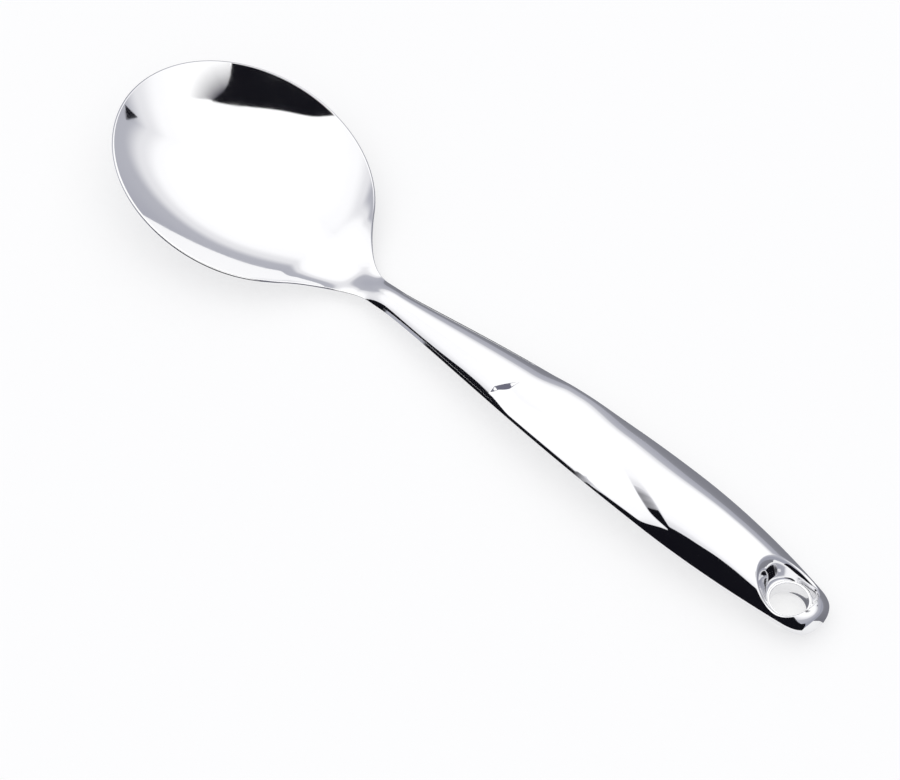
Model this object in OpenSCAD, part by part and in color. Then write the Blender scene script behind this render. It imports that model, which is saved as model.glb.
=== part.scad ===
// Serving spoon with a hollow handle, lying on a table: bowl bottom and handle end touch z = 0.
// X runs from the bowl tip to the handle end, Y across, Z up. Millimetres.

/* [Bowl] */
// length of the oval rim, seen from above
bowl_l = 85; // [74:1:96]
// width of the oval rim
bowl_w = 72; // [60:1:80]
// depth of the hollow below the rim
bowl_d = 11.5; // [9:0.5:14]
// sheet thickness at the bottom of the bowl
bowl_t = 1.5; // [1.2:0.1:2]
// slope of the rim while the spoon lies on a table, in degrees
rim_tilt = 9.4; // [8:0.2:11]
// width of the ground edge along the rim
rim_face = 1.1; // [0.8:0.1:1.5]

/* [Neck] */
// distance from the rear of the oval rim to the handle mouth
neck_l = 20; // [17:1:26]
// width of the neck at the handle mouth
neck_w = 9.5; // [8.6:0.1:11]
// height of the neck above its edges at the handle mouth
neck_up = 2.1; // [1.9:0.1:2.6]
// depth of the neck below its edges at the handle mouth
neck_low = 2.5; // [2.2:0.1:3]
// length of the tang inside the handle
tang_l = 26; // [15:1:35]
// gap all round the tang
tang_gap = 0.1; // [0.05:0.05:0.2]

/* [Handle] */
// length of the handle, mouth to end
handle_l = 167; // [145:1:185]
// greatest width of the handle
handle_w = 26.2; // [23:0.2:30]
// place of the greatest width, share of the handle length
wide_at = 0.665; // [0.62:0.005:0.69]
// width that the handle tapers to before its end is rounded
end_w = 14.2; // [13.6:0.2:18]
// height of the upper half in the grip
grip_up = 4.9; // [4.4:0.1:5.6]
// how much higher the upper half gets behind the grip
crown_rise = 3; // [2.4:0.1:3.6]
// how much it comes down again towards the end
crown_fall = 3.4; // [2.8:0.1:3.8]
// depth of the lower half in the grip
belly_grip = 6.8; // [6:0.1:7.6]
// depth of the lower half at the end
belly_end = 6.4; // [6:0.1:7]
// radius of the arch of the handle in side view
arch_r = 840; // [700:10:1000]
// sheet thickness of both halves
shell_t = 0.8; // [0.6:0.1:1]

/* [Thumb flat] */
// front edge of the flat on the -Y side of the ridge, share of the handle length
flat_front = 0.289; // [0.27:0.001:0.31]
// place where the rear edge of the flat leaves the ridge, share of the handle length
flat_tip = 0.533; // [0.51:0.001:0.55]
// how far the flat reaches towards the edge, share of the half width
flat_edge = 0.93; // [0.88:0.01:0.95]
// half widths that the rear edge runs outwards over the handle length
flat_spread = 4.4; // [4:0.1:4.8]
// steepness of the short wall in front of the flat
front_wall = 0.8; // [0.5:0.05:1]
// steepness of the rounded wall behind the flat
rear_wall = 0.5; // [0.3:0.05:0.7]

/* [Hanging hole] */
// bore of the hanging hole
hole_d = 11.2; // [8:0.2:11.4]
// wall of the sleeve in the hole
sleeve_t = 0.6; // [0.5:0.1:0.8]
// middle of the hole to the end of the handle
hole_inset = 11.5; // [11.5:0.5:15]
// reach of the dish from the middle of the hole towards the grip
dish_reach = 11.5; // [10:0.5:15]
// run of the dish wall beside the sleeve
dish_wall = 2.1; // [1.6:0.1:2.4]
// height of the dish floor above the underside of the handle
floor_h = 5.3; // [4.9:0.1:5.6]
// gap between sleeve and sheet
sleeve_gap = 0.05; // [0.02:0.01:0.1]

/* [Hidden] */
$fn = 72;
rim_a = bowl_l / 2;
rim_b = bowl_w / 2;
slope = tan(rim_tilt);
edge_t = 0.6;
x_mouth = rim_a + neck_l;
x_end = x_mouth + handle_l;
x_mid = (x_end - rim_a) / 2;
x_apex = x_mouth + handle_l * 0.517;
cap_r = 8;
hole_x = x_end - hole_inset;
bore_r = hole_d / 2;
sleeve_r = bore_r + sleeve_t;
half_gap = 0.1;
dish_half = min(sleeve_r + dish_wall, plan(along(hole_x)) / 2 - shell_t - half_gap);
sleeve_foot = 0.4;
flat_corner = 0.76;
t_corner = flat_tip + flat_corner / flat_spread;
tip_lag = 0.034;
wall_round = 1;
floor_r = sleeve_r + 0.2;
bowl_row = 20;
low_row = 8;

function mix(a, b, s) = a + (b - a) * s;
function ease(s) = s <= 0 ? 0 : s >= 1 ? 1 : s * s * (3 - 2 * s);
function ease_in(x, a, b) = ease((x - a) / (b - a));

// plan of the handle: slim at the mouth, full in the grip, round end
function cap(x) = x <= x_end - cap_r ? 1 : pow(max(0, 1 - pow((x - x_end + cap_r) / cap_r, 3)), 1 / 3);
function along(x) = (x - x_mouth) / handle_l;
function swell(s) = (1 - cos(180 * pow(s, 0.663))) / 2;
function plan(t) = t < wide_at
    ? mix(neck_w, handle_w, swell(t / wide_at))
    : handle_w - (handle_w - end_w) * pow((t - wide_at) / (1 - wide_at), 1.88);

// heights of the two halves above and below the parting line
function ridge(t) = neck_up + (grip_up - neck_up) * ease(t / 0.5) + crown_rise * ease_in(t, 0.53, 0.76)
    - crown_fall * ease_in(t, 0.78, 1);
function belly(t) = mix(mix(neck_low, belly_grip, ease(t / 0.5)), belly_end, ease_in(t, 0.6, 1));

// sections of the two halves: a dome above that is fuller on the +Y side of the grip, a squarer belly below
function dome_p(t) = mix(2, 2.2, ease(t / 0.27));
function fuller(t) = ease_in(t, 0.3, 0.38) * (1 - ease_in(t, 0.4, 0.52));
function bow(c) = max(0, 1 - c * c);
function dome(t, c) = mix(1 - pow(abs(c), dome_p(t)), sqrt(bow(c)), c > 0 ? fuller(t) : 0);
function low_p(t) = mix(1, 0.45, ease_in(t, 0.28, 0.4));

// thumb flat: the -Y side cut along a chord from the ridge to flat_c, short wall before it, rounded one behind
function flat_c(t) = flat_edge - 0.1 * (1 - ease_in(t, flat_front, flat_front + 0.06))
    - (flat_edge - flat_corner) * ease_in(t, t_corner - 0.066, t_corner);
function flat_d(t, c) = ridge(t) * (c * pow(flat_c(t), dome_p(t) - 1) - pow(c, dome_p(t)));
function front_d(t, c) = front_wall * handle_l * (t - flat_front - tip_lag * (1 - ease(c / 0.35)));
function rear_d(t, c) = let (d = max(0, c - (t - flat_tip) * flat_spread) * plan(t) / 2)
    rear_wall * d * d / (d + wall_round);
function flat_cut(t, c) = c <= 0 ? 0 : max(0, min(flat_d(t, c), front_d(t, c), rear_d(t, c)));

// arch of the handle in side view, set down so that its underside touches the table
function arch(x) = -(x - x_apex) * (x - x_apex) / (2 * arch_r);
function under(x) = arch(x) - belly(along(x)) * cap(x);
arch_h = -min([for (i = [0:40]) under(x_end - 24 + i * 0.58)]);
function spine(x) = arch_h + arch(x);

// hollow of the bowl along its middle, fading out in the neck
fade_a = rim_a * sqrt(2);
function hollow(x) = x < 0
    ? 1 - x * x / (rim_a * rim_a)
    : pow(max(0, 1 - x * x / (fade_a * fade_a)), 2);

// plan of the bowl: oval rim that runs into the neck with a hollow fillet
x_fil = rim_a * 0.84;
w_fil = rim_b * sqrt(1 - 0.84 * 0.84);
k_fil = -rim_b * rim_b * x_fil / (rim_a * rim_a * w_fil);
l_fil = x_mouth - 6 - x_fil;
function hermite(s, a, ka, b) = a * (1 - 3 * s * s + 2 * s * s * s) + ka * (s - 2 * s * s + s * s * s)
    + b * (3 * s * s - 2 * s * s * s);
function rim_w(x) = x < x_fil
    ? rim_b * sqrt(max(0, 1 - x * x / (rim_a * rim_a)))
    : hermite(min(1, (x - x_fil) / l_fil), w_fil, k_fil * l_fil, neck_w / 2);

// height of the rim line, then of the neck edge, above the table
function bowl_under(x) = -slope * x - bowl_t - bowl_d * hollow(x);
bowl_low = min([for (i = [0:40]) bowl_under(rim_a * (i / 50 - 0.2))]);
function edge_z(x) = mix(-bowl_low - slope * x, spine(x), ease_in(x, rim_a * 0.64, x_mouth - 10));

// share of the neck's full section reached at x
function necked(x) = ease_in(x, rim_a * 0.85, x_mouth);

// dish round the hanging hole: flat floor square to the bore, wall up to the crown
hole_k = -(hole_x - x_apex) / arch_r;
hole_turn = atan(hole_k);
floor_z = spine(hole_x) - belly(along(hole_x)) + floor_h;
function dish_edge(dx, y, grow) =
    norm([dx, y]) / norm([dx / ((dx >= 0 ? dish_half : dish_reach) + grow), y / dish_half]);
function dish(x, y, grow) = let (d = norm([x - hole_x, y]))
    d <= floor_r ? 1 : 1 - ease_in(d, floor_r, dish_edge(x - hole_x, y, grow));

// rows of points along the handle: close together at the walls of the flat, at the dish and round the end
cap_x = x_end - cap_r;
fine_x = hole_x - dish_reach - 2;
wall_x = hole_x + floor_r;
t_rows = concat(
    [for (i = [0:7]) mix(0, flat_front - 0.01, i / 8)],
    [for (i = [0:9]) mix(flat_front - 0.01, flat_front + 0.045, i / 10)],
    [for (i = [0:5]) mix(flat_front + 0.045, flat_tip, i / 6)],
    [for (i = [0:14]) mix(flat_tip, 0.72, i / 15)],
    [for (i = [0:3]) mix(0.72, along(fine_x), i / 4)]);
handle_xs = concat(
    [for (t = t_rows) x_mouth + t * handle_l],
    [for (i = [0:11]) mix(fine_x, hole_x, i / 12)],
    [for (i = [0:4]) mix(hole_x, wall_x, sin(18 * i))],
    [for (i = [0:3]) mix(wall_x, hole_x + dish_half, i / 4)],
    [for (i = [0:9]) mix(hole_x + dish_half, x_end - 0.001, sin(10 * i))]);

function inner_x(x) = x <= cap_x ? x : cap_x + (x - cap_x) * (cap_r - shell_t) / cap_r;

// places across the upper half, -1 to 1, that follow the floor and the edge of the dish
function chord(r, d) = sqrt(max(0, r * r - d * d));
function dish_w(dx, grow) = dish_half * chord(1, dx / ((dx >= 0 ? dish_half : dish_reach) + grow));
function up_side(x, in) =
    let (a = (plan(along(x)) / 2 - in * shell_t) * cap(x), dx = (in == 1 ? inner_x(x) : x) - hole_x)
    let (c0 = min(0.75, max(chord(floor_r, dx) / a, 0.3)))
    let (c1 = min(0.96, max(dish_w(dx, in * shell_t) / a, mix(c0, 1, 0.3))))
    [for (j = [0:12])
        j <= 4 ? c0 * j / 4 : j <= 7 ? mix(c0, c1, (j - 4) / 3) : mix(c1, 1, sin(18 * (j - 7)))];
function up_cs(x, in) = let (s = up_side(x, in)) [for (j = [-12:12]) sign(j) * s[abs(j)]];

// point of the upper half at row x and place c across, c from -1 to 1; in = 0 outside, 1 inside
function up_pt(x, c, in) =
    let (t = along(x), k = cap(x), xx = in == 1 ? inner_x(x) : x, a = plan(t) / 2)
    let (y = (a - in * shell_t) * k * c)
    let (rise = max(0, (ridge(t) - in * shell_t) * dome(t, c) - flat_cut(t, -y / (a * k))) * k)
    let (floor = floor_z + hole_k * (xx - hole_x) - in * shell_t)
    [xx, y, mix(spine(xx) + rise, floor, dish(xx, y, in * shell_t))];

function low_pt(x, c, in) =
    let (t = along(x), k = cap(x), xx = in == 1 ? inner_x(x) : x)
    let (deep = (belly(t) - in * shell_t) * k * pow(bow(c), low_p(t)))
    [xx, (plan(t) / 2 - in * shell_t) * k * c, spine(xx) - deep];

// points across a row, from one edge to the other
function across(n) = [for (j = [0:n]) j == 0 ? -1 : j == n ? 1 : -cos(180 * j / n)];

function quad(a, b, c, d, turn) = turn ? [[a, c, b], [a, d, c]] : [[a, b, c], [a, c, d]];

// faces of a pressed half: outer skin, inner skin, edges, mouth and the closed end
function half_faces(rows, n, turn) = let (m = 2 * n + 2, e = (rows - 1) * m) concat(
    [for (i = [0:rows - 2], j = [0:n - 1])
        each quad(i * m + j, i * m + j + 1, (i + 1) * m + j + 1, (i + 1) * m + j, turn)],
    [for (i = [0:rows - 2], j = [n + 1:2 * n])
        each quad(i * m + j, i * m + j + 1, (i + 1) * m + j + 1, (i + 1) * m + j, !turn)],
    [for (i = [0:rows - 2])
        each quad(i * m, (i + 1) * m, (i + 1) * m + n + 1, i * m + n + 1, turn)],
    [for (i = [0:rows - 2])
        each quad(i * m + n, (i + 1) * m + n, (i + 1) * m + m - 1, i * m + m - 1, !turn)],
    [for (j = [0:n - 1]) each quad(j, j + 1, n + 2 + j, n + 1 + j, !turn)],
    [for (j = [1:n - 1]) turn ? [e, e + j + 1, e + j] : [e, e + j, e + j + 1]],
    [for (j = [1:n - 1]) let (i = e + n + 1) turn ? [i, i + j, i + j + 1] : [i, i + j + 1, i + j]],
    quad(e, e + n, e + m - 1, e + n + 1, turn));

// faces of a closed skin over rows of equal length, both ends closed by strips across
function skin(rows, n) = let (e = (rows - 1) * n) concat(
    [for (i = [0:rows - 2], j = [0:n - 1]) let (k = (j + 1) % n)
        each quad(i * n + j, i * n + k, (i + 1) * n + k, (i + 1) * n + j, false)],
    [for (j = [0:n / 2 - 2]) each quad(j, j + 1, n - 2 - j, n - 1 - j, true)],
    [for (j = [0:n / 2 - 2]) each quad(e + j, e + j + 1, e + n - 2 - j, e + n - 1 - j, false)]);

module bore(r) {
    translate([hole_x, 0, floor_z])
        rotate([0, -hole_turn, 0])
            cylinder(h = 30, r = r, center = true);
}

module spoon_bowl() {
    front = [for (i = [0:18]) -rim_a * cos(mix(1.5, 90, i / 18))];
    back = [for (i = [1:24]) x_mouth * i / 24];
    inset = (rim_a - rim_face) / rim_a;
    cs = across(bowl_row);
    body = [for (x = concat(front, back))
        let (wo = rim_w(x), f = necked(x), d = bowl_d * hollow(x), e = mix(edge_t, 0.02, f))
        let (wr = x < 0 ? wo * (rim_b - rim_face) / rim_b : wo - rim_face)
        let (wi = mix(wr, wo, f), xi = x < 0 ? x * inset : x, low = mix(bowl_t - edge_t, neck_low - e, f) + d)
        concat(
            [for (c = cs) [xi, wi * c, edge_z(xi) + (neck_up * f - d) * bow(c)]],
            [for (c = cs) [x, -wo * c, edge_z(x) - e - low * bow(c)]])];
    tang_in = shell_t + tang_gap;
    tang = [for (i = [0:6]) let (x = x_mouth + tang_l * i / 6)
        concat(
            [for (c = cs) [x, (neck_w / 2 - tang_in) * c, spine(x) + (neck_up - tang_in) * bow(c) + 0.01]],
            [for (c = cs) [x, (tang_in - neck_w / 2) * c, spine(x) - (neck_low - tang_in) * bow(c) - 0.01]])];
    rows = concat(body, tang);
    color("gainsboro")
        translate([-x_mid, 0, 0])
            polyhedron([for (r = rows) each r], skin(len(rows), 2 * bowl_row + 2), convexity = 6);
}

module handle_upper_shell() {
    rows = [for (x = handle_xs)
        concat([for (c = up_cs(x, 0)) up_pt(x, c, 0)], [for (c = up_cs(x, 1)) up_pt(x, c, 1)])];
    color("gainsboro")
        translate([-x_mid, 0, 0])
            difference() {
                polyhedron([for (r = rows) each r], half_faces(len(rows), 24, false), convexity = 6);
                bore(sleeve_r + sleeve_gap);
            }
}

module handle_lower_shell() {
    cs = across(low_row);
    rows = [for (x = handle_xs) concat([for (c = cs) low_pt(x, c, 0)], [for (c = cs) low_pt(x, c, 1)])];
    color("silver")
        translate([-x_mid, 0, 0])
            difference() {
                polyhedron([for (r = rows) each r], half_faces(len(rows), low_row, true), convexity = 6);
                bore(sleeve_r + sleeve_gap);
            }
}

// short tube from the dish floor to just inside the underside
module hole_sleeve() {
    sleeve_l = floor_h - sleeve_foot;
    color("silver")
        translate([hole_x - x_mid, 0, floor_z])
            rotate([0, -hole_turn, 0])
                rotate_extrude()
                    translate([bore_r, -sleeve_l])
                        square([sleeve_t, sleeve_l]);
}

spoon_bowl();
handle_lower_shell();
handle_upper_shell();
hole_sleeve();
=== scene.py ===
import math
import bpy
import numpy as np
from mathutils import Matrix, Vector


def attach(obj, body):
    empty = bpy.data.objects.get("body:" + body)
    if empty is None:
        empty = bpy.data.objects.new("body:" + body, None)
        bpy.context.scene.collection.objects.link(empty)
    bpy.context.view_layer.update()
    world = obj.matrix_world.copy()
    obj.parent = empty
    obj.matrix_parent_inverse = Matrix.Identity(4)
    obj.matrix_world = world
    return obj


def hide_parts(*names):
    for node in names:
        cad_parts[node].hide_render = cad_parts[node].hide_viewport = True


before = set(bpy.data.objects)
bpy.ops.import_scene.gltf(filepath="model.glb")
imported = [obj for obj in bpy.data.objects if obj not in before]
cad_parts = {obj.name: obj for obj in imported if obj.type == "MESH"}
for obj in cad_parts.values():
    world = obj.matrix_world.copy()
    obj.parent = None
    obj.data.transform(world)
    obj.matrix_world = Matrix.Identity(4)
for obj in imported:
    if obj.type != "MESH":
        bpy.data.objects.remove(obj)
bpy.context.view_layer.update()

# Spoon bowl
# One blank of stainless sheet, pressed into an oval hollow and drawn in behind to a slim neck.
# The rim is ground round and everything is mirror polished; the tang is welded into the handle's mouth.
# Sizes are in millimetres, with x counted from the middle of the oval rim and heights from the table.
mm = 0.001
bowl_l = 85.0
bowl_w = 72.0
bowl_d = 11.5
bowl_t = 1.5
rim_tilt = 9.4
rim_face = 0.8
rim_edge_t = 0.6
neck_l = 20.0
neck_w = 9.5
neck_up = 2.1
neck_low = 2.5
neck_from = 0.85
neck_straight = 6.0
neck_edge_t = 0.02
fillet_at = 0.84
edge_blend_from = 30.0
edge_blend_l = 26.0
tang_l = 26.0
tang_inset = 0.9
handle_l = 167.0
arch_r = 840.0
arch_h = 9.70474
apex_at = 0.517
rim_height = 14.104
rim_a = bowl_l / 2
rim_b = bowl_w / 2
x_mouth = rim_a + neck_l
x_end = x_mouth + handle_l
x_mid = (x_end - rim_a) / 2
x_apex = x_mouth + apex_at * handle_l
slope = math.tan(math.radians(rim_tilt))
tip_rows = 64
back_rows = 120
row_points = 91
lip_turns = (18, 36, 54, 72)


def mix(a, b, share):
    return a + (b - a) * share


def ease(share):
    share = np.clip(share, 0, 1)
    return share * share * (3 - 2 * share)


def ease_in(x, start, end):
    return ease((x - start) / (end - start))


def spine(x):
    """Height of the handle's parting line, an arch that comes down to the table at the end."""
    return arch_h - (x - x_apex) ** 2 / (2 * arch_r)


def hollow(x):
    """Depth of the hollow along the middle, as a share, fading out in the neck."""
    front = 1 - (x / rim_a) ** 2
    back = np.maximum(0, 1 - (x / rim_a) ** 2 / 2) ** 2
    return np.where(x < 0, front, back)


def rim_half_width(x):
    """Half width of the bowl: an oval that runs into the neck with a hollow fillet."""
    x_fil = rim_a * fillet_at
    w_fil = rim_b * math.sqrt(1 - fillet_at ** 2)
    l_fil = x_mouth - neck_straight - x_fil
    lean = -rim_b ** 2 * x_fil / (rim_a ** 2 * w_fil) * l_fil
    s = np.clip((x - x_fil) / l_fil, 0, 1)
    fillet = (w_fil * (1 - 3 * s ** 2 + 2 * s ** 3) + lean * (s - 2 * s ** 2 + s ** 3)
              + neck_w / 2 * (3 * s ** 2 - 2 * s ** 3))
    oval = rim_b * np.sqrt(np.maximum(0, 1 - (x / rim_a) ** 2))
    return np.where(x < x_fil, oval, fillet)


def edge_height(x):
    """Height of the rim line, then of the neck's edge."""
    share = np.clip((x - edge_blend_from) / edge_blend_l, 0, 1)
    smooth = share ** 3 * (6 * share ** 2 - 15 * share + 10)
    return mix(rim_height - slope * x, spine(x), smooth)


def smooth_mesh(name, patches, closed_ring, sharp_from):
    """One mesh from grids of points, with edges bent by more than sharp_from degrees kept crisp."""
    points = []
    faces = []
    for grid in patches:
        rows, count = grid.shape[:2]
        first = len(points)
        points.extend(((grid.reshape(-1, 3) - (x_mid, 0, 0)) * mm).tolist())
        for i in range(rows - 1):
            for j in range(count if closed_ring else count - 1):
                k = (j + 1) % count
                a = first + i * count
                b = a + count
                faces.append((a + j, a + k, b + k, b + j))
    mesh = bpy.data.meshes.new(name)
    mesh.from_pydata(points, [], faces)
    piece = bpy.data.objects.new(name, mesh)
    bpy.context.collection.objects.link(piece)
    weld = piece.modifiers.new("weld", "WELD")
    weld.merge_threshold = 0.002 * mm
    settle(piece, sharp_from)
    return piece


def settle(piece, sharp_from):
    """Applies the piece's modifiers to its mesh and shades it."""
    seen = piece.evaluated_get(bpy.context.evaluated_depsgraph_get())
    mesh = bpy.data.meshes.new_from_object(seen)
    piece.modifiers.clear()
    old = piece.data
    piece.data = mesh
    bpy.data.meshes.remove(old)
    mesh.name = piece.name
    mesh.shade_smooth()
    mesh.set_sharp_from_angle(angle=math.radians(sharp_from))


def across(count):
    """Places across a row from -1 to 1, closer together towards both edges."""
    return np.sin(np.linspace(-math.pi / 2, math.pi / 2, count))


def bowl_rings():
    """Closed rings round the sheet, row after row from the tip to the end of the tang."""
    front = -rim_a * np.cos(np.linspace(0, math.pi / 2, tip_rows))
    back = np.linspace(0, x_mouth, back_rows)[1:]
    x = np.concatenate([front, back])[:, None]
    c = across(row_points)[None, :]
    wide = rim_half_width(x)
    necked = ease_in(x, rim_a * neck_from, x_mouth)
    deep = bowl_d * hollow(x)
    edge = mix(rim_edge_t, neck_edge_t, necked)
    bow = 1 - c * c
    inset = (rim_a - rim_face) / rim_a
    x_in = np.where(x < 0, x * inset, x)
    wide_in = mix(np.where(x < 0, wide * (rim_b - rim_face) / rim_b, wide - rim_face), wide, necked)
    top = np.stack([x_in + 0 * c, wide_in * c, edge_height(x_in) + (neck_up * necked - deep) * bow], -1)
    belly = mix(bowl_t - rim_edge_t, neck_low - edge, necked) + deep
    bottom = np.stack([x + 0 * c, wide * c, edge_height(x) - edge - belly * bow], -1)
    turn = np.radians(lip_turns)[None, :, None]

    def lip(side):
        inner = top[:, side, None, :]
        outer = bottom[:, side, None, :]
        flat = inner + (outer - inner) * np.sin(turn)
        flat[..., 2:] = (inner + (outer - inner) * (1 - np.cos(turn)))[..., 2:]
        return flat

    right = lip(-1)
    left = lip(0)[:, ::-1]
    shaped = np.concatenate([top, right, bottom[:, ::-1], left], 1)
    tang_x = np.array([x_mouth, x_mouth + tang_l])[:, None]
    tang_y = (neck_w / 2 - tang_inset) * c + 0 * tang_x
    tang_up = spine(tang_x) + (neck_up - tang_inset) * bow
    tang_down = spine(tang_x) - (neck_low - tang_inset) * bow
    tang_top = np.stack([tang_x + 0 * c, tang_y, tang_up], -1)
    tang_bottom = np.stack([tang_x + 0 * c, tang_y, tang_down], -1)
    tang_right = tang_top[:, [-1] * len(lip_turns)]
    tang_left = tang_top[:, [0] * len(lip_turns)]
    tang = np.concatenate([tang_top, tang_right, tang_bottom[:, ::-1], tang_left], 1)
    closing = tang[-1:] * 0 + tang[-1:].mean(1, keepdims=True)
    return np.concatenate([shaped, tang, closing], 0)


def polishing_marks():
    """Shader group for buffed steel: fine lines along the piece, and soft cloudy patches of wear."""
    group = bpy.data.node_groups.new("polishing_marks", "ShaderNodeTree")
    for label, value in (("Line Spacing", 900.0), ("Cloud Size", 60.0), ("Gloss", 0.03), ("Worn", 0.08)):
        socket = group.interface.new_socket(label, in_out="INPUT", socket_type="NodeSocketFloat")
        socket.default_value = value
    for label, kind in (("Roughness", "Float"), ("Height", "Float"), ("Shade", "Color")):
        group.interface.new_socket(label, in_out="OUTPUT", socket_type="NodeSocket" + kind)
    nodes = group.nodes
    links = group.links
    given = nodes.new("NodeGroupInput")
    result = nodes.new("NodeGroupOutput")
    place = nodes.new("ShaderNodeTexCoord")
    stretch = nodes.new("ShaderNodeMapping")
    stretch.inputs["Scale"].default_value = (0.06, 1, 1)
    lines = nodes.new("ShaderNodeTexNoise")
    lines.inputs["Detail"].default_value = 4
    clouds = nodes.new("ShaderNodeTexNoise")
    clouds.inputs["Detail"].default_value = 3
    links.new(place.outputs["Object"], stretch.inputs["Vector"])
    links.new(stretch.outputs["Vector"], lines.inputs["Vector"])
    links.new(given.outputs["Line Spacing"], lines.inputs["Scale"])
    links.new(place.outputs["Object"], clouds.inputs["Vector"])
    links.new(given.outputs["Cloud Size"], clouds.inputs["Scale"])
    both = nodes.new("ShaderNodeMath")
    both.operation = "MULTIPLY"
    links.new(lines.outputs["Fac"], both.inputs[0])
    links.new(clouds.outputs["Fac"], both.inputs[1])
    rough = nodes.new("ShaderNodeMapRange")
    rough.inputs["From Min"].default_value = 0.12
    rough.inputs["From Max"].default_value = 0.45
    links.new(both.outputs[0], rough.inputs["Value"])
    links.new(given.outputs["Gloss"], rough.inputs["To Min"])
    links.new(given.outputs["Worn"], rough.inputs["To Max"])
    links.new(rough.outputs["Result"], result.inputs["Roughness"])
    links.new(lines.outputs["Fac"], result.inputs["Height"])
    shade = nodes.new("ShaderNodeMix")
    shade.data_type = "RGBA"
    shade.inputs["A"].default_value = (0.86, 0.86, 0.875, 1)
    shade.inputs["B"].default_value = (0.9, 0.9, 0.905, 1)
    links.new(clouds.outputs["Fac"], shade.inputs["Factor"])
    links.new(shade.outputs["Result"], result.inputs["Shade"])
    return group


marks = polishing_marks()


def steel(name, line_spacing, gloss, worn, relief):
    """Mirror-polished stainless steel with its own grain and wear."""
    made = bpy.data.materials.new(name)
    made.use_nodes = True
    nodes = made.node_tree.nodes
    links = made.node_tree.links
    shader = nodes["Principled BSDF"]
    shader.inputs["Metallic"].default_value = 1
    wear = nodes.new("ShaderNodeGroup")
    wear.node_tree = marks
    wear.inputs["Line Spacing"].default_value = line_spacing
    wear.inputs["Gloss"].default_value = gloss
    wear.inputs["Worn"].default_value = worn
    bump = nodes.new("ShaderNodeBump")
    bump.inputs["Strength"].default_value = relief
    bump.inputs["Distance"].default_value = 0.002 * mm
    links.new(wear.outputs["Shade"], shader.inputs["Base Color"])
    links.new(wear.outputs["Roughness"], shader.inputs["Roughness"])
    links.new(wear.outputs["Height"], bump.inputs["Height"])
    links.new(bump.outputs["Normal"], shader.inputs["Normal"])
    return made


bowl = smooth_mesh("bowl_and_neck", [bowl_rings()], closed_ring=True, sharp_from=38)
bowl.data.materials.append(steel("bowl_steel", line_spacing=700, gloss=0.03, worn=0.07, relief=0.2))
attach(bowl, "root")
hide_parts("spoon_bowl")

# Lower half of the handle
# A thin pressed sheet of stainless steel that closes the hollow handle from below.
# Its edge is welded to the upper half all round and ground flush; the hanging hole's tube comes out in it.
handle_w = 26.2
wide_at = 0.665
swell_power = 0.663
taper_power = 1.88
end_w = 14.2
end_round = 8.0
shell_t = 0.8
belly_grip = 6.8
belly_end = 6.4
belly_full_at = 0.5
belly_end_from = 0.6
boxy_from = 0.28
boxy_at = 0.4
boxy_power = 0.45
hole_inset = 11.5
hole_r = 6.25
hole_drift = 0.44
patch_l = 15.0
hole_x = x_end - hole_inset
hole_k = -(hole_x - x_apex) / arch_r
hole_tilt = math.cos(math.atan(hole_k))
x_patch = hole_x - patch_l
half_crisp = 40
walk_steps = 2000
edge_points = 70
tiny = 1e-9


def along(x):
    return (x - x_mouth) / handle_l


def rounded_end(x):
    s = np.clip((x - x_end + end_round) / end_round, 0, 1)
    return (1 - s ** 3) ** (1 / 3)


def half_width(x):
    """Half width of the handle: slim at the mouth, full in the grip, round end."""
    t = along(x)
    swell = (1 - np.cos(math.pi * np.clip(t / wide_at, 0, 1) ** swell_power)) / 2
    taper = np.clip((t - wide_at) / (1 - wide_at), 0, 1) ** taper_power
    wide = np.where(t < wide_at, mix(neck_w, handle_w, swell), handle_w - (handle_w - end_w) * taper)
    return wide / 2 * rounded_end(x)


def bow_across(x, y):
    """1 in the middle of the handle, 0 at both edges."""
    return np.maximum(0, 1 - (y / np.maximum(half_width(x), tiny)) ** 2)


def lower_height(x, y):
    """Height of the lower half: round at the mouth, with fuller sides in the grip."""
    t = along(x)
    front = mix(neck_low, belly_grip, ease(t / belly_full_at))
    belly = mix(front, belly_end, ease_in(t, belly_end_from, 1))
    power = mix(1, boxy_power, ease_in(t, boxy_from, boxy_at))
    return spine(x) - belly * rounded_end(x) * bow_across(x, y) ** power


def handle_patches(height, hole_at, row_x, places, stops):
    """Grids over one half: rows from the mouth to near the hole, then rays from the hole to the edge."""
    c = places(row_x)
    x = row_x[:, None]
    y = half_width(x) * c
    main = np.stack([x + 0 * y, y, height(x + 0 * y, y)], -1)
    fine = np.linspace(0, math.pi / 2, 2 * walk_steps)
    side_x = np.concatenate([np.linspace(x_patch, x_end - end_round, walk_steps)[:-1],
                             x_end - 1e-6 - end_round * (1 - np.sin(fine) ** (2 / 3))])
    side_y = half_width(side_x)
    walked = np.concatenate([[0], np.cumsum(np.hypot(np.diff(side_x), np.diff(side_y)))])
    even = np.linspace(0, walked[-1], edge_points)
    edge_x = np.interp(even, walked, side_x)
    edge_y = np.interp(even, walked, side_y)
    edge_y[-1] = 0
    rim_x = np.concatenate([0 * c[-1] + x_patch, edge_x[1:], edge_x[-2::-1]])
    rim_y = np.concatenate([y[-1], edge_y[1:], -edge_y[-2::-1]])
    reach = np.hypot(rim_x - hole_at, rim_y)
    side = (rim_x - hole_at) / reach
    up = rim_y / reach
    start = hole_r * np.hypot(side * hole_tilt, up)
    rings = stops(start, side, up, reach)
    px = hole_at + rings * side[None, :]
    py = rings * up[None, :]
    return [main[::-1], np.stack([px, py, height(px, py)], -1)]


def lower_places(row_x):
    return np.repeat(across(row_points)[None, :], len(row_x), 0)


def lower_stops(start, side, up, reach):
    s = np.sin(np.linspace(0, math.pi / 2, 36))[:, None]
    return mix(start[None, :], reach[None, :], s)


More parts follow.
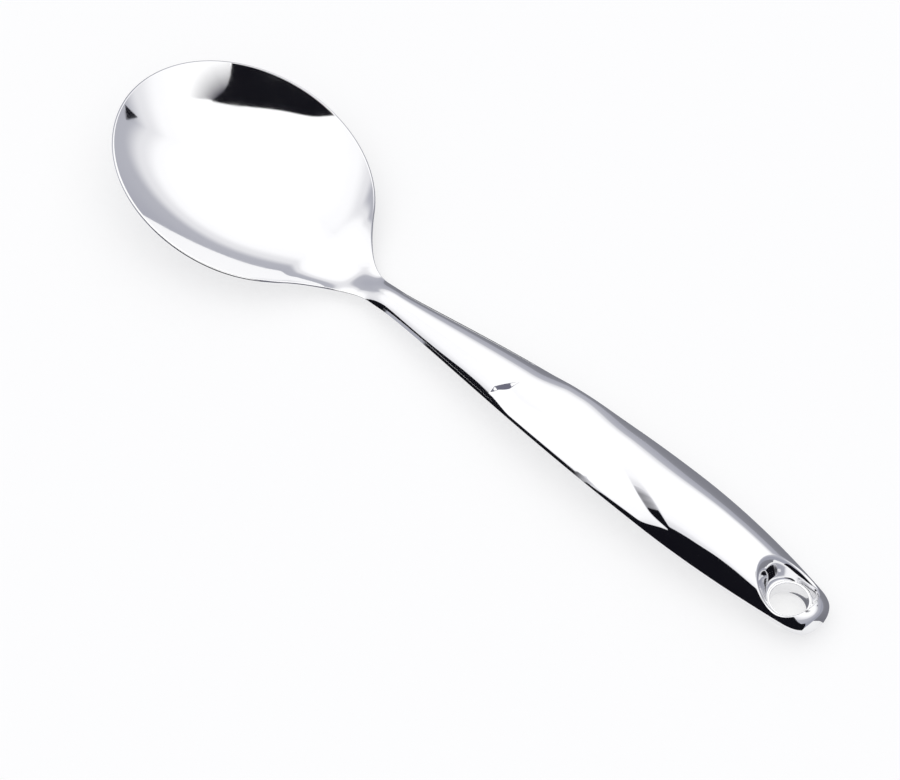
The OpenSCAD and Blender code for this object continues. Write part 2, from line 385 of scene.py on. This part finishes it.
def pressed_half(name, patches, outward):
    """A half of the handle as a sheet of its real thickness, grown inwards from its outer skin."""
    piece = smooth_mesh(name, patches, closed_ring=False, sharp_from=half_crisp)
    grow = piece.modifiers.new("sheet", "SOLIDIFY")
    grow.thickness = shell_t * mm
    grow.offset = outward
    settle(piece, half_crisp)
    return piece


lower_rows = np.linspace(x_mouth, x_patch, 150)
lower_skin = handle_patches(lower_height, hole_x - hole_drift, lower_rows, lower_places, lower_stops)
lower = pressed_half("handle_lower_half", lower_skin, outward=1)
lower.data.materials.append(steel("handle_steel_below", line_spacing=900, gloss=0.03, worn=0.08, relief=0.2))
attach(lower, "root")
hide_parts("handle_lower_shell")

# Upper half of the handle
# A thin pressed sheet of stainless steel with a round back, and a dish round the hanging hole at its end.
# One side of the grip is cut flat for the thumb, between a short wall in front and a rounded one behind.
grip_up = 4.9
grip_full_at = 0.5
crown_rise = 3.0
crown_from = 0.53
crown_top = 0.76
crown_fall = 3.4
crown_fall_from = 0.78
mouth_power = 2
grip_power = 2.2
grip_power_at = 0.27
full_from = 0.3
full_at = 0.38
full_to = 0.4
full_end = 0.52
flat_front = 0.277
flat_tip = 0.515
flat_end = 0.712
flat_edge = 0.93
flat_corner = 0.77
corner_l = 0.066
front_depth = 1.25
rear_depth = 0.52
depth_from = 0.33
depth_to = 0.5
front_wall = 0.5
front_pinch = 0.1
front_pinch_l = 0.06
front_lean = 0.055
front_lean_to = 0.6
front_hook = 0.018
front_hook_w = 0.08
rear_wall = 0.3
rear_line_power = 1.35
wall_round = 0.5
crease = 0.06
dish_reach = 11.5
dish_half = 8.3
lip_power = 1.3
floor_r = 6.4
floor_z = 5.72608
dense_to = 0.9


def ridge(t):
    """Height of the upper half along its middle, above the parting line."""
    grip = mix(neck_up, grip_up, ease(t / grip_full_at))
    return grip + crown_rise * ease_in(t, crown_from, crown_top) - crown_fall * ease_in(t, crown_fall_from, 1)


def dome_power(t):
    """How full the dome is across the handle: a parabola at the mouth, a little fuller in the grip."""
    return mix(mouth_power, grip_power, ease(t / grip_power_at))


def soft_min(a, b, round_by):
    """The lower of two heights, with the crease between them rounded a little."""
    share = np.clip(0.5 + 0.5 * (b - a) / round_by, 0, 1)
    return mix(b, a, share) - round_by * share * (1 - share)


def flat_cut(x, y):
    """Depth of the thumb flat: a chord from the ridge towards the edge, ended by its two walls."""
    t = along(x)
    c = np.clip(-y / np.maximum(half_width(x), tiny), 0, 1)
    power = dome_power(t)
    edge = (flat_edge - front_pinch * (1 - ease_in(t, flat_front, flat_front + front_pinch_l))
            - (flat_edge - flat_corner) * ease_in(t, flat_end - corner_l, flat_end))
    depth = mix(front_depth, rear_depth, ease_in(t, depth_from, depth_to))
    chord = depth * ridge(t) * (c * edge ** (power - 1) - c ** power)
    front_line = (flat_front + front_lean * np.maximum(0, front_lean_to - c)
                  + front_hook * np.maximum(0, 1 - c / front_hook_w) ** 2)
    front = front_wall * handle_l * (t - front_line)
    line = flat_corner * np.clip((t - flat_tip) / (flat_end - flat_tip), 0, 2) ** rear_line_power
    run = np.maximum(0, c - line) * half_width(x)
    rear = rear_wall * run * run / (run + wall_round)
    cut = soft_min(soft_min(chord, front, crease), rear, crease)
    return np.where(c > 0, -soft_min(-cut, 0 * cut, crease / 2), 0)


def upper_rise(x, y):
    """Height above the parting line: a dome, fuller on the far side of the grip, less the thumb flat."""
    t = along(x)
    c = np.sqrt(1 - bow_across(x, y))
    full = ease_in(t, full_from, full_at) * (1 - ease_in(t, full_to, full_end))
    fuller = np.where(y > 0, full, 0)
    dome = mix(1 - c ** dome_power(t), np.sqrt(bow_across(x, y)), fuller)
    return np.maximum(0, ridge(t) * dome - flat_cut(x, y)) * rounded_end(x)


def dish_edge(dx, dy):
    """Distance from the hole's middle to the edge of the dish, in the direction of dx, dy."""
    reach = np.where(dx >= 0, dish_half, dish_reach)
    return np.hypot(dx, dy) / np.maximum(np.hypot(dx / reach, dy / dish_half), tiny)


def dish_share(x, y):
    """0 on the crown, 1 on the dish floor: a rounded lip, a steep wall and a scoop towards the grip."""
    dx = x - hole_x
    away = np.hypot(dx, y)
    edge = dish_edge(dx, y)
    s = np.clip((edge - away) / (edge - floor_r), 0, 1)
    return mix(s ** lip_power, ease(s), ease(np.clip(-dx / np.maximum(away, tiny), 0, 1)))


def upper_height(x, y):
    floor = floor_z + hole_k * (x - hole_x)
    return mix(spine(x) + upper_rise(x, y), floor, dish_share(x, y))


def upper_places(row_x):
    """Places across each row, close together on the side of the thumb flat."""
    edge = dense_to + (1 - dense_to) * np.sin(np.linspace(0, math.pi / 2, 14))[1:]
    near = np.concatenate([np.linspace(0, dense_to, 66), edge])
    far = np.sin(np.linspace(0, math.pi / 2, 40))[1:]
    return np.repeat(np.concatenate([-near[::-1], far])[None, :], len(row_x), 0)


def upper_stops(start, side, up, reach):
    edge = dish_edge(side, up)
    wall = mix(edge[None, :], floor_r, np.linspace(1, 0, 24)[:, None])
    out = mix(edge[None, :], reach[None, :], np.sin(np.linspace(0, math.pi / 2, 34))[1:, None])
    return np.concatenate([start[None, :], wall, out], 0)


row_stretches = ((0, 0.266, 36), (0.27, 0.28, 10), (0.281, 0.34, 80), (0.344, 0.53, 36),
                 (0.533, 0.72, 110), (0.724, along(x_patch), 50))
upper_t = np.concatenate([np.linspace(*stretch) for stretch in row_stretches])
upper_rows = x_mouth + upper_t * handle_l
upper_skin = handle_patches(upper_height, hole_x, upper_rows, upper_places, upper_stops)
upper = pressed_half("handle_upper_half", upper_skin, outward=-1)
upper.data.materials.append(steel("handle_steel_above", line_spacing=900, gloss=0.03, worn=0.08, relief=0.2))
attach(upper, "root")
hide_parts("handle_upper_shell")

# Sleeve of the hanging hole
# A short drawn tube of stainless steel between the dish floor and the lower half.
# Its ends are flared a little and welded to both sheets, so that no water gets into the handle.
bore_r = 5.6
sleeve_t = 0.6
sleeve_l = 4.9
sleeve_sides = 96


def sleeve_rings():
    lip = 0.2
    turn = np.radians([0, 30, 60, 90])
    top_in = [(bore_r + lip - lip * math.cos(a), -lip + lip * math.sin(a)) for a in turn]
    section = top_in + [(bore_r + sleeve_t, 0), (bore_r + sleeve_t, -sleeve_l), (bore_r, -sleeve_l)]
    around = np.linspace(0, 2 * math.pi, sleeve_sides + 1)[:, None]
    r = np.array([p[0] for p in section])[None, :]
    h = np.array([p[1] for p in section])[None, :]
    lean = math.atan(hole_k)
    x = r * np.cos(around)
    return np.stack([hole_x + x * math.cos(lean) - h * math.sin(lean), r * np.sin(around) + 0 * h,
                     floor_z + x * math.sin(lean) + h * math.cos(lean)], -1)


sleeve = smooth_mesh("hole_sleeve_tube", [sleeve_rings()[::-1]], closed_ring=True, sharp_from=half_crisp)
sleeve.data.materials.append(steel("sleeve_steel", line_spacing=1500, gloss=0.08, worn=0.18, relief=0.4))
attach(sleeve, "root")
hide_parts("hole_sleeve")

# Table and studio
# A white table under a soft light dome that is white overhead and grey at the horizon.
# Glowing cards that show only in the polished steel paint the dark and grey reflections that it mirrors.
table_r = 6.0
table_drop = 0.0002
table_grey = (0.45, 0.45, 0.45, 1)
table_glow = 0.57
dome_tones = ((0.04, (0.31, 0.318, 0.37, 1)), (0.23, (0.375, 0.38, 0.43, 1)), (0.486, (0.42, 0.425, 0.47, 1)),
              (0.62, (0.74, 0.74, 0.76, 1)), (0.76, (0.93, 0.93, 0.94, 1)), (0.93, (1, 1, 1, 1)))
dome_white = (1.2, 1.2, 1.2, 1)
dome_from = -0.1
dome_to = 0.6
dome_front = 18.0
dome_lift = 1.0
dome_lift_most = 0.32


def disc(name, radius, height, sides):
    turn = np.linspace(0, 2 * math.pi, sides, endpoint=False)
    rim = [(radius * math.cos(a), radius * math.sin(a), height) for a in turn]
    mesh = bpy.data.meshes.new(name)
    mesh.from_pydata(rim, [], [list(range(sides))])
    made = bpy.data.objects.new(name, mesh)
    bpy.context.collection.objects.link(made)
    return made


def table_white():
    """White matt top that also reads as plain white to the camera and in the steel, shadow kept."""
    made = bpy.data.materials.new("table_white")
    made.use_nodes = True
    nodes = made.node_tree.nodes
    links = made.node_tree.links
    nodes.clear()
    matt = nodes.new("ShaderNodeBsdfDiffuse")
    matt.inputs["Color"].default_value = table_grey
    lift = nodes.new("ShaderNodeEmission")
    lift.inputs["Color"].default_value = (1, 1, 1, 1)
    rays = nodes.new("ShaderNodeLightPath")
    seen = nodes.new("ShaderNodeMath")
    seen.operation = "MAXIMUM"
    through = nodes.new("ShaderNodeMath")
    through.operation = "MAXIMUM"
    amount = nodes.new("ShaderNodeMath")
    amount.operation = "MULTIPLY"
    amount.inputs[1].default_value = table_glow
    total = nodes.new("ShaderNodeAddShader")
    out = nodes.new("ShaderNodeOutputMaterial")
    links.new(rays.outputs["Is Camera Ray"], seen.inputs[0])
    links.new(rays.outputs["Is Glossy Ray"], seen.inputs[1])
    links.new(seen.outputs[0], through.inputs[0])
    links.new(rays.outputs["Is Transmission Ray"], through.inputs[1])
    links.new(through.outputs[0], amount.inputs[0])
    links.new(amount.outputs[0], lift.inputs["Strength"])
    links.new(matt.outputs[0], total.inputs[0])
    links.new(lift.outputs[0], total.inputs[1])
    links.new(total.outputs[0], out.inputs["Surface"])
    return made


table = disc("table", table_r, -table_drop, sides=96)
table.data.materials.append(table_white())

# Camera of the photograph, by its place above and beside the spoon
view_turn = 41.5209
view_rise = 50.82697
view_roll = 2.74637
view_far = 1.494632
view_lens = 205.39
view_target = Vector((0, 0, 0.014))
view_aside = -0.0059638
view_down = -0.0145397
turn = math.radians(view_turn)
rise_angle = math.radians(view_rise)
level_share = math.cos(rise_angle)
back = Vector((math.sin(turn) * level_share, -math.cos(turn) * level_share, math.sin(rise_angle)))
level = Vector((math.cos(turn), math.sin(turn), 0))
over = back.cross(level)
roll = math.radians(view_roll)
right = level * math.cos(roll) + over * math.sin(roll)
upward = over * math.cos(roll) - level * math.sin(roll)

# Light dome, grey low down and white above
# The white comes down lowest ahead of the camera, a little to the right.
ahead = np.array((-back.x, -back.y, 0)) / math.hypot(back.x, back.y)
aside = np.array(level)
front_turn = math.radians(dome_front)
world = bpy.data.worlds.new("light_dome")
bpy.context.scene.world = world
world.use_nodes = True
dome = world.node_tree.nodes
dome_links = world.node_tree.links
sky = dome["Background"]
toward = dome.new("ShaderNodeTexCoord")
parts = dome.new("ShaderNodeSeparateXYZ")
flatten = dome.new("ShaderNodeVectorMath")
flatten.operation = "MULTIPLY"
flatten.inputs[1].default_value = (1, 1, 0)
unit = dome.new("ShaderNodeVectorMath")
unit.operation = "NORMALIZE"
facing = dome.new("ShaderNodeVectorMath")
facing.operation = "DOT_PRODUCT"
facing.inputs[1].default_value = math.cos(front_turn) * ahead + math.sin(front_turn) * aside
turned_off = dome.new("ShaderNodeMath")
turned_off.operation = "MULTIPLY_ADD"
turned_off.inputs[1].default_value = -dome_lift
turned_off.inputs[2].default_value = dome_lift
most = dome.new("ShaderNodeMath")
most.operation = "MINIMUM"
most.inputs[1].default_value = dome_lift_most
lowered = dome.new("ShaderNodeMath")
lowered.operation = "SUBTRACT"
rise = dome.new("ShaderNodeMapRange")
rise.inputs["From Min"].default_value = dome_from
rise.inputs["From Max"].default_value = dome_to
tone = dome.new("ShaderNodeValToRGB")
tone.color_ramp.interpolation = "EASE"
steps = tone.color_ramp.elements
steps[0].position, steps[0].color = dome_tones[0]
steps[1].position, steps[1].color = dome_tones[-1]
for at, colour in dome_tones[1:-1]:
    steps.new(at).color = colour
sky.inputs["Strength"].default_value = dome_white[0]
dome_links.new(toward.outputs["Generated"], parts.inputs["Vector"])
dome_links.new(toward.outputs["Generated"], flatten.inputs[0])
dome_links.new(flatten.outputs["Vector"], unit.inputs[0])
dome_links.new(unit.outputs["Vector"], facing.inputs[0])
dome_links.new(facing.outputs["Value"], turned_off.inputs[0])
dome_links.new(turned_off.outputs[0], most.inputs[0])
dome_links.new(parts.outputs["Z"], lowered.inputs[0])
dome_links.new(most.outputs[0], lowered.inputs[1])
dome_links.new(lowered.outputs[0], rise.inputs["Value"])
dome_links.new(rise.outputs["Result"], tone.inputs["Fac"])
dome_links.new(tone.outputs["Color"], sky.inputs["Color"])

# Cards round the spoon, seen only by the polished steel and clear from behind: glowing shapes, not lamps,
# that paint reflections in the steel
# Sizes are in metres; angles are counted from straight ahead of the camera to the right.
card_far = 4.0
near_y = -0.12
camera_side = 0.025
camera_turn = 50.0
black = (0.006, 0.006, 0.009, 1)


def card(name, foot, head, colour, other, plain_to, other_from, bend, by_height):
    """A glowing card between two lines of points, a painted reflection for the steel; from foot to head it
    fades into another colour.
    """
    count = len(foot)
    mesh = bpy.data.meshes.new(name)
    mesh.from_pydata(np.concatenate([foot, head]).tolist(), [],
                     [(i, i + 1, i + 1 + count, i + count) for i in range(count - 1)])
    tall = np.concatenate([foot, head])[:, 2]
    share = (tall - tall.min()) / (tall.max() - tall.min()) if by_height else np.repeat([0.0, 1.0], count)
    mesh.attributes.new("rise", "FLOAT", "POINT").data.foreach_set("value", share.tolist())
    made = bpy.data.objects.new(name, mesh)
    bpy.context.collection.objects.link(made)
    paint = bpy.data.materials.new(name)
    paint.use_nodes = True
    nodes = paint.node_tree.nodes
    links = paint.node_tree.links
    nodes.clear()
    place = nodes.new("ShaderNodeAttribute")
    place.attribute_name = "rise"
    curve = nodes.new("ShaderNodeMath")
    curve.operation = "POWER"
    curve.inputs[1].default_value = bend
    fade = nodes.new("ShaderNodeMapRange")
    fade.inputs["From Min"].default_value = plain_to
    fade.inputs["From Max"].default_value = other_from
    shade = nodes.new("ShaderNodeMix")
    shade.data_type = "RGBA"
    shade.inputs["A"].default_value = colour
    shade.inputs["B"].default_value = other
    glow = nodes.new("ShaderNodeEmission")
    side = nodes.new("ShaderNodeNewGeometry")
    clear = nodes.new("ShaderNodeBsdfTransparent")
    facing_us = nodes.new("ShaderNodeMixShader")
    out = nodes.new("ShaderNodeOutputMaterial")
    links.new(place.outputs["Fac"], curve.inputs[0])
    links.new(curve.outputs[0], fade.inputs["Value"])
    links.new(fade.outputs["Result"], shade.inputs["Factor"])
    links.new(shade.outputs["Result"], glow.inputs["Color"])
    links.new(side.outputs["Backfacing"], facing_us.inputs["Fac"])
    links.new(glow.outputs[0], facing_us.inputs[1])
    links.new(clear.outputs[0], facing_us.inputs[2])
    links.new(facing_us.outputs[0], out.inputs["Surface"])
    mesh.materials.append(paint)
    made.visible_camera = False
    made.visible_diffuse = False
    made.visible_shadow = False
    made.visible_transmission = False


def round_card(name, low, high, colour, plain_to, white_from):
    """A card bent round the spoon; low and high list angle and height angle along its two edges."""
    def edge(line):
        turn, rise_to = np.radians(np.array(line)).T
        flat = card_far * (np.cos(turn)[:, None] * ahead + np.sin(turn)[:, None] * aside)
        return flat + np.stack([0 * turn, 0 * turn, card_far * np.tan(rise_to)], -1)
    card(name, edge(high)[::-1], edge(low)[::-1], colour, dome_white, plain_to, white_from, 1, True)


def flat_card(name, foot, head, colour, other, start, along_it):
    """An upright card; foot and head list places along it and heights."""
    def edge(line):
        return np.array([start + along_it * u + np.array((0, 0, v)) for u, v in line])
    card(name, edge(foot)[::-1], edge(head)[::-1], colour, other, 0, 1, 1, False)


near_start = np.array((0, near_y, 0))
near_along = np.array((1, 0, 0))
flat_card("near_card",
          [(-0.26, 0.13), (-0.2, 0.12), (-0.165, 0.1), (-0.14, 0.08), (-0.1, 0.04), (-0.05, 0), (0, 0),
           (0.06, 0), (0.1, 0), (0.16, 0), (0.2, 0), (0.236, 0), (0.31, 0), (0.34, 0)],
          [(-0.26, 0.15), (-0.2, 0.175), (-0.165, 0.19), (-0.14, 0.175), (-0.1, 0.14), (-0.05, 0.118),
           (0, 0.11), (0.06, 0.108), (0.1, 0.114), (0.16, 0.11), (0.2, 0.085), (0.236, 0.072), (0.31, 0.078),
           (0.34, 0.05)],
          black, black, near_start, near_along)

# Small cards beside the grip whose glow paints the grey reflection and the dark streak reflected at the two
# walls of the thumb flat
# Painted grey reflection for the front wall of the thumb flat
wall_painted_grey = (0.17, 0.17, 0.22, 1)
front_wall_start = np.array((0.0253, -0.054, 0))
front_wall_along = np.array((0.31, 0.95, 0))
flat_card("front_wall_card", [(-0.03, 0.03), (0.02, 0.03)], [(-0.03, 0.2), (0.02, 0.2)],
          wall_painted_grey, wall_painted_grey, front_wall_start, front_wall_along)
# Painted reflection for the streak at the rear wall: dark at the foot, pale at the head
streak_painted_dark = (0.03, 0.03, 0.036, 1)
streak_painted_pale = (0.8, 0.8, 0.84, 1)
rear_wall_start = np.array((0.0367, -0.027, 0))
rear_wall_along = np.array((-0.43, -0.9, 0))
flat_card("rear_wall_card", [(0.005, 0.044), (0.0217, 0.05), (0.05, 0.056), (0.08, 0.062)],
          [(0.005, 0.0545), (0.0217, 0.073), (0.05, 0.09), (0.08, 0.11)],
          streak_painted_dark, streak_painted_pale, rear_wall_start, rear_wall_along)

# Black card by the camera, which paints the black reflected patch in the bowl, and two bent cards on the
# right side that paint dark reflections
across_view = math.radians(camera_turn)
camera_start = camera_side * np.array((math.sin(across_view), -math.cos(across_view), 0))
camera_along = np.array((math.cos(across_view), math.sin(across_view), 0))
flat_card("camera_card",
          [(-2.4, 1.8), (-1.0, 0.92), (-0.51, 0.685), (-0.36, 0.505), (-0.27, 0.405), (-0.2, 0.33),
           (-0.155, 0.29), (-0.12, 0.27), (-0.09, 0.255), (-0.045, 0.25), (-0.03, 0.295), (-0.015, 0.33),
           (0.01, 0.375), (0.08, 0.475)],
          [(-2.4, 1.95), (-1.0, 1.02), (-0.57, 0.775), (-0.36, 0.635), (-0.27, 0.555), (-0.2, 0.495),
           (-0.155, 0.465), (-0.12, 0.45), (-0.09, 0.445), (-0.045, 0.445), (-0.03, 0.45), (-0.015, 0.455),
           (0.01, 0.46), (0.08, 0.48)],
          black, black, camera_start, camera_along)
far_dark = (0.03, 0.027, 0.05, 1)
round_card("far_card",
           [(98, 53), (102, 53), (106, 53.5), (111, 54), (117, 55), (123, 56), (132, 57), (144, 57),
            (162, 57)],
           [(98, 57), (102, 59.5), (106, 61.5), (111, 64), (117, 66), (123, 68), (132, 70), (144, 72.5),
            (162, 73.5)],
           far_dark, plain_to=0.6, white_from=0.2)
small_dark = (0.008, 0.008, 0.012, 1)
round_card("small_black_card", [(62, 32.5), (69, 35)], [(66.7, 38), (67.1, 38)],
           small_dark, plain_to=2, white_from=3)

# Sheet on the table behind the spoon, seen only in the steel: painted shade in its reflection of the table,
# with a painted contact shadow darkest close to the spoon
sheet_near = 0.004
sheet_far = 4.0
sheet_painted_shadow = (0.14, 0.142, 0.165, 1)
sheet_painted_grey = (0.4, 0.405, 0.45, 1)
sheet_x = np.array([-4.0, 4.0])
# Painted shadow near the spoon, fading to painted grey shade further away
card("painted_shade_sheet", np.stack([sheet_x, 0 * sheet_x + sheet_near, 0 * sheet_x], -1),
     np.stack([sheet_x, 0 * sheet_x + sheet_far, 0 * sheet_x], -1),
     sheet_painted_shadow, sheet_painted_grey, plain_to=0, other_from=1, bend=0.2, by_height=False)

# The camera itself, with a long lens
lens = bpy.data.cameras.new("view_camera")
lens.lens = view_lens
lens.sensor_width = 36
lens.clip_start = 0.05
lens.clip_end = 50
camera = bpy.data.objects.new("view_camera", lens)
bpy.context.collection.objects.link(camera)
place = view_target + back * view_far + right * view_aside + upward * view_down
turned = Matrix((right, upward, back)).transposed()
camera.matrix_world = Matrix.Translation(place) @ turned.to_4x4()
bpy.context.scene.camera = camera
bpy.context.scene.view_settings.view_transform = "Standard"
